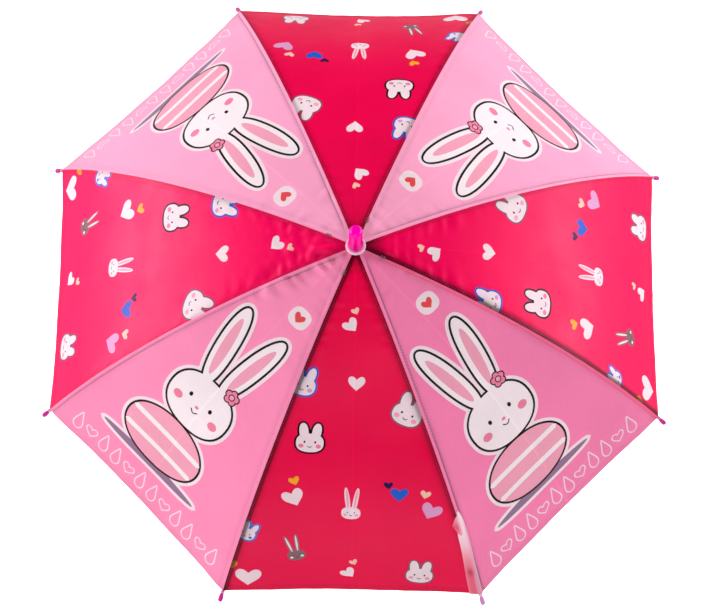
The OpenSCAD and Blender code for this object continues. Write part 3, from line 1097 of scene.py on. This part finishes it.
def ferrule_plastic():
    """Clear magenta plastic with painted shade, darker towards its foot, and a painted glow that grows
    towards its nose.
    """
    m = Nodes("ferrule_plastic", Roughness=0.20, Coat_Weight=0.3, Coat_Roughness=0.08, IOR=1.49)
    height = m.add("ShaderNodeSeparateXYZ")
    m.join(m.coords(), height.inputs[0])
    low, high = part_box("ferrule")[0][2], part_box("ferrule")[1][2]
    mottled = m.between(m.noise(30, 2), 0.96, 1.03, *NOISE_SPAN)
    # painted shade: darker towards the foot
    painted_foot_shade = m.between(height.outputs["Z"], 0.62, 1.0, low, low + 0.6 * (high - low))
    m.colour(CLEAR_MAGENTA, m.math("MULTIPLY", mottled, painted_foot_shade))
    # a painted glow: emission that grows towards the nose
    m.shader.inputs["Emission Color"].default_value = CLEAR_MAGENTA
    m.join(m.between(height.outputs["Z"], 0.02, 0.42, low, high), m.shader.inputs["Emission Strength"])
    m.bump(m.noise(300, 2), 0.00002, 0.4)
    return m.mat


def metal_material(name, colour, rough, grain=(40, 40, 900)):
    m = Nodes(name, Metallic=1.0, Roughness=rough)
    m.colour(colour, m.between(m.noise(60, 4), 0.86, 1.05, *NOISE_SPAN))
    m.rough(m.noise(1, 3, grain), rough - 0.06, rough + 0.12)
    m.bump(m.noise(1, 2, grain), 0.00003, 0.5)
    return m.mat


def thread_material(name, colour):
    m = Nodes(name, Roughness=0.7, Sheen_Weight=0.3)
    twist = m.noise(1, 1, (3200, 3200, 3200))
    m.colour(colour, m.between(twist, 0.72, 1.08, *NOISE_SPAN))
    m.bump(twist, 0.00008, 0.6)
    return m.mat


def dress(node, material):
    obj = frame["nodes"][node]
    obj.data.materials.clear()
    obj.data.materials.append(material)


# ---- studio ----

FLOOR_GLOW = 0.90
SKY_GLOW = 0.93


def floor():
    """A pale floor that the camera alone sees, so that it throws no haze on the cloth."""
    low = CAD_BOX[0][2] - 0.0015
    me = bpy.data.meshes.new("studio_floor")
    e = 9.0
    me.from_pydata([(-e, -e, low), (e, -e, low), (e, e, low), (-e, e, low)], [], [(0, 1, 2, 3)])
    obj = linked("studio_floor", me)
    m = Nodes("floor_paper", Roughness=0.9, Specular_IOR_Level=0.1)
    m.shader.inputs["Base Color"].default_value = (0.86, 0.86, 0.86, 1)
    m.shader.inputs["Emission Color"].default_value = (1, 1, 1, 1)
    m.shader.inputs["Emission Strength"].default_value = FLOOR_GLOW
    obj.data.materials.append(m.mat)
    obj.visible_glossy = obj.visible_diffuse = False


def world():
    """A pale surround that lights nothing and mirrors in nothing: the lamps light the object."""
    w = bpy.data.worlds.new("studio")
    bpy.context.scene.world = w
    w.use_nodes = True
    back = w.node_tree.nodes["Background"]
    back.inputs["Color"].default_value = (1, 1, 1, 1)
    back.inputs["Strength"].default_value = SKY_GLOW
    w.cycles_visibility.diffuse = False
    w.cycles_visibility.glossy = False


def soft_light(name, azimuth, elevation, distance, size, watts, gloss=True):
    """A soft box aimed at the canopy, azimuth from +X towards +Y; one without gloss only fills."""
    a, e = math.radians(azimuth), math.radians(elevation)
    data = bpy.data.lights.new(name, "AREA")
    data.shape = "RECTANGLE"
    data.size, data.size_y = size
    data.energy = watts
    obj = linked(name, data)
    aim = Vector((0, 0, 0.42))
    away = Vector((math.cos(a) * math.cos(e), math.sin(a) * math.cos(e), math.sin(e)))
    obj.location = aim + away * distance
    obj.rotation_euler = (aim - obj.location).to_track_quat("-Z", "Y").to_euler()
    obj.visible_glossy = gloss
    return obj


def bounce_light():
    """The floor's light on the underside."""
    data = bpy.data.lights.new("floor_bounce", "AREA")
    data.size, data.energy = 3.0, 14
    obj = linked("floor_bounce", data)
    obj.location = (0, 0, CAD_BOX[0][2] + 0.001)
    obj.rotation_euler = (math.pi, 0, 0)
    obj.visible_camera = False


def frame_lights(pieces):
    """Soft boxes that light these pieces alone."""
    group = bpy.data.collections.new("mirroring_pieces")
    for name in pieces:
        group.objects.link(frame["nodes"][name])
    for azimuth, watts in ((65, 22), (185, 26), (305, 22)):
        box = soft_light(f"frame_box_{azimuth}", azimuth, 8, 2.2, (1.5, 1.3), watts)
        box.light_linking.receiver_collection = group


def studio():
    bpy.context.scene.view_settings.view_transform = "Standard"
    floor()
    world()
    bounce_light()
    soft_light("left_box", 170, 12, 2.4, (1.6, 0.8), 32)
    soft_light("right_box", 10, 12, 2.4, (1.6, 0.8), 22)
    soft_light("left_fill", 162, 33, 2.4, (1.2, 0.9), 24, False)
    soft_light("right_fill", 18, 33, 2.4, (1.2, 0.9), 15, False)
    soft_light("back_left_fill", 135, 10, 2.4, (1.2, 0.9), 12, False)
    soft_light("back_right_fill", 45, 10, 2.4, (1.2, 0.9), 34, False)
    soft_light("front_fill", 270, 6, 2.6, (2.6, 0.7), 35, False)
    soft_light("high_front_fill", 270, 60, 2.4, (1.4, 0.9), 17, False)


def camera():
    data = bpy.data.cameras.new("view")
    data.sensor_fit = "HORIZONTAL"
    data.sensor_width = 36
    data.lens = 101.28
    data.clip_end = 50
    obj = linked("view", data)
    middle_height, distance = 0.2958, 2.538
    e, a = math.radians(75.22), math.radians(0.5)
    back = Vector((math.sin(a) * math.cos(e), -math.cos(a) * math.cos(e), math.sin(e)))
    obj.location = Vector((0, 0, middle_height)) + back * distance
    aim = Vector((-0.0024, -0.0150, middle_height))
    obj.rotation_euler = (aim - obj.location).to_track_quat("-Z", "Y").to_euler()
    bpy.context.scene.camera = obj


# ---- the whole ----


def canopy(threads):
    cloths = {
        0: (cloth_material("cloth_red", 0.0, "#ffc4e0"), RED, red_layers()),
        1: (cloth_material("cloth_pink", 0.0), PINK, pink_layers()),
    }
    plans = {odd: triangulate(layers, cloth) for odd, (_, cloth, layers) in cloths.items()}
    for k in range(1, RIBS + 1):
        odd = k % 2
        material, cloth, _ = cloths[odd]
        near, far = f"rib_arm_{k}", f"rib_arm_{k % RIBS + 1}"
        rig = rig_between(near, far)
        cover = gore(k, plans[odd], cloth, tone(GORE_DYES_AND_PAINTED_LIGHT[k - 1]))
        cover.data.materials.append(material)
        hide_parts(f"canopy_gore_{k}")
        sewn = gore_stitches(k, threads["pink" if odd else "red"])
        for obj in (cover, sewn):
            verts = obj.data.vertices
            hang_between(obj, rig, near, lambda i, v=verts: across_gore(k, v[i].co))


def tie_strap(rig):
    satin = cloth_material("strap_satin", 0.15)
    ribbon, tab = strap(satin), strap_tab(satin)
    for obj in (ribbon, tab):
        verts = obj.data.vertices
        # the strap rides on rib 7, the far rib of gore 6, so its shares run the other way
        hang_between(obj, rig, "rib_arm_7", lambda i, v=verts: 1 - across_gore(6, v[i].co))


def frame_looks():
    steel = metal_material("frame_steel", (0.62, 0.63, 0.65, 1), 0.32)
    chrome = metal_material("shaft_chrome", (0.78, 0.79, 0.81, 1), 0.16, (500, 500, 12))
    wire = metal_material("wire_steel", (0.52, 0.53, 0.55, 1), 0.36)
    white = plastic_material("white_plastic", (0.82, 0.80, 0.81, 1), 0.42, 0.1)
    magenta = plastic_material("magenta_plastic", (0.62, 0.015, 0.27, 1), 0.26)
    hot = ferrule_plastic()
    pale = plastic_material("pale_plastic", (1.0, 0.68, 0.82, 1), 0.34)
    neck = plastic_material("neck_plastic", (0.66, 0.26, 0.54, 1), 0.38, 0.3)
    looks = {"shaft_tube": chrome, "crown_notch": white, "handle": magenta, "runner": magenta}
    looks.update({"crown_wire": wire, "crown_pin": wire, "stop_pin": wire, "runner_wire": wire})
    looks.update({"top_catch": wire, "bottom_catch": wire, "handle_collar": pale, "handle_end_cap": pale})
    for i in range(1, RIBS + 1):
        looks.update({f"rib_{i}": steel, f"stretcher_{i}": steel, f"joint_rivet_{i}": wire})
        tip(i, *((neck, pale) if i == 7 else (magenta, neck)))
    for node, material in looks.items():
        dress(node, material)
    frame_lights(looks)
    for obj, material, slot in ((ferrule(), hot, "magenta_plastic"), (washer(), pale, "pale_plastic")):
        obj.data.materials.append(material)
        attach(obj, "shaft_assembly")


def threads_everywhere(threads):
    for i in range(1, RIBS + 1):
        made = [rib_ties(i, threads["white"]), tip_threads(i, threads["pink"])]
        if i % 2 == 0:
            made.append(seam_tack(i, threads["grey"]))
        for obj in made:
            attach(obj, f"rib_arm_{i}")


def main():
    camera()
    studio()
    threads = {
        "red": thread_material("thread_red", tone("#b80a3e")),
        "pink": thread_material("thread_pink", tone("#f7b2cd")),
        "white": thread_material("thread_white", tone("#e9e2e6")),
        "grey": thread_material("thread_grey", tone("#74646f")),
    }
    canopy(threads)
    tie_strap(rig_between("rib_arm_7", "rib_arm_6"))
    frame_looks()
    threads_everywhere(threads)


main()
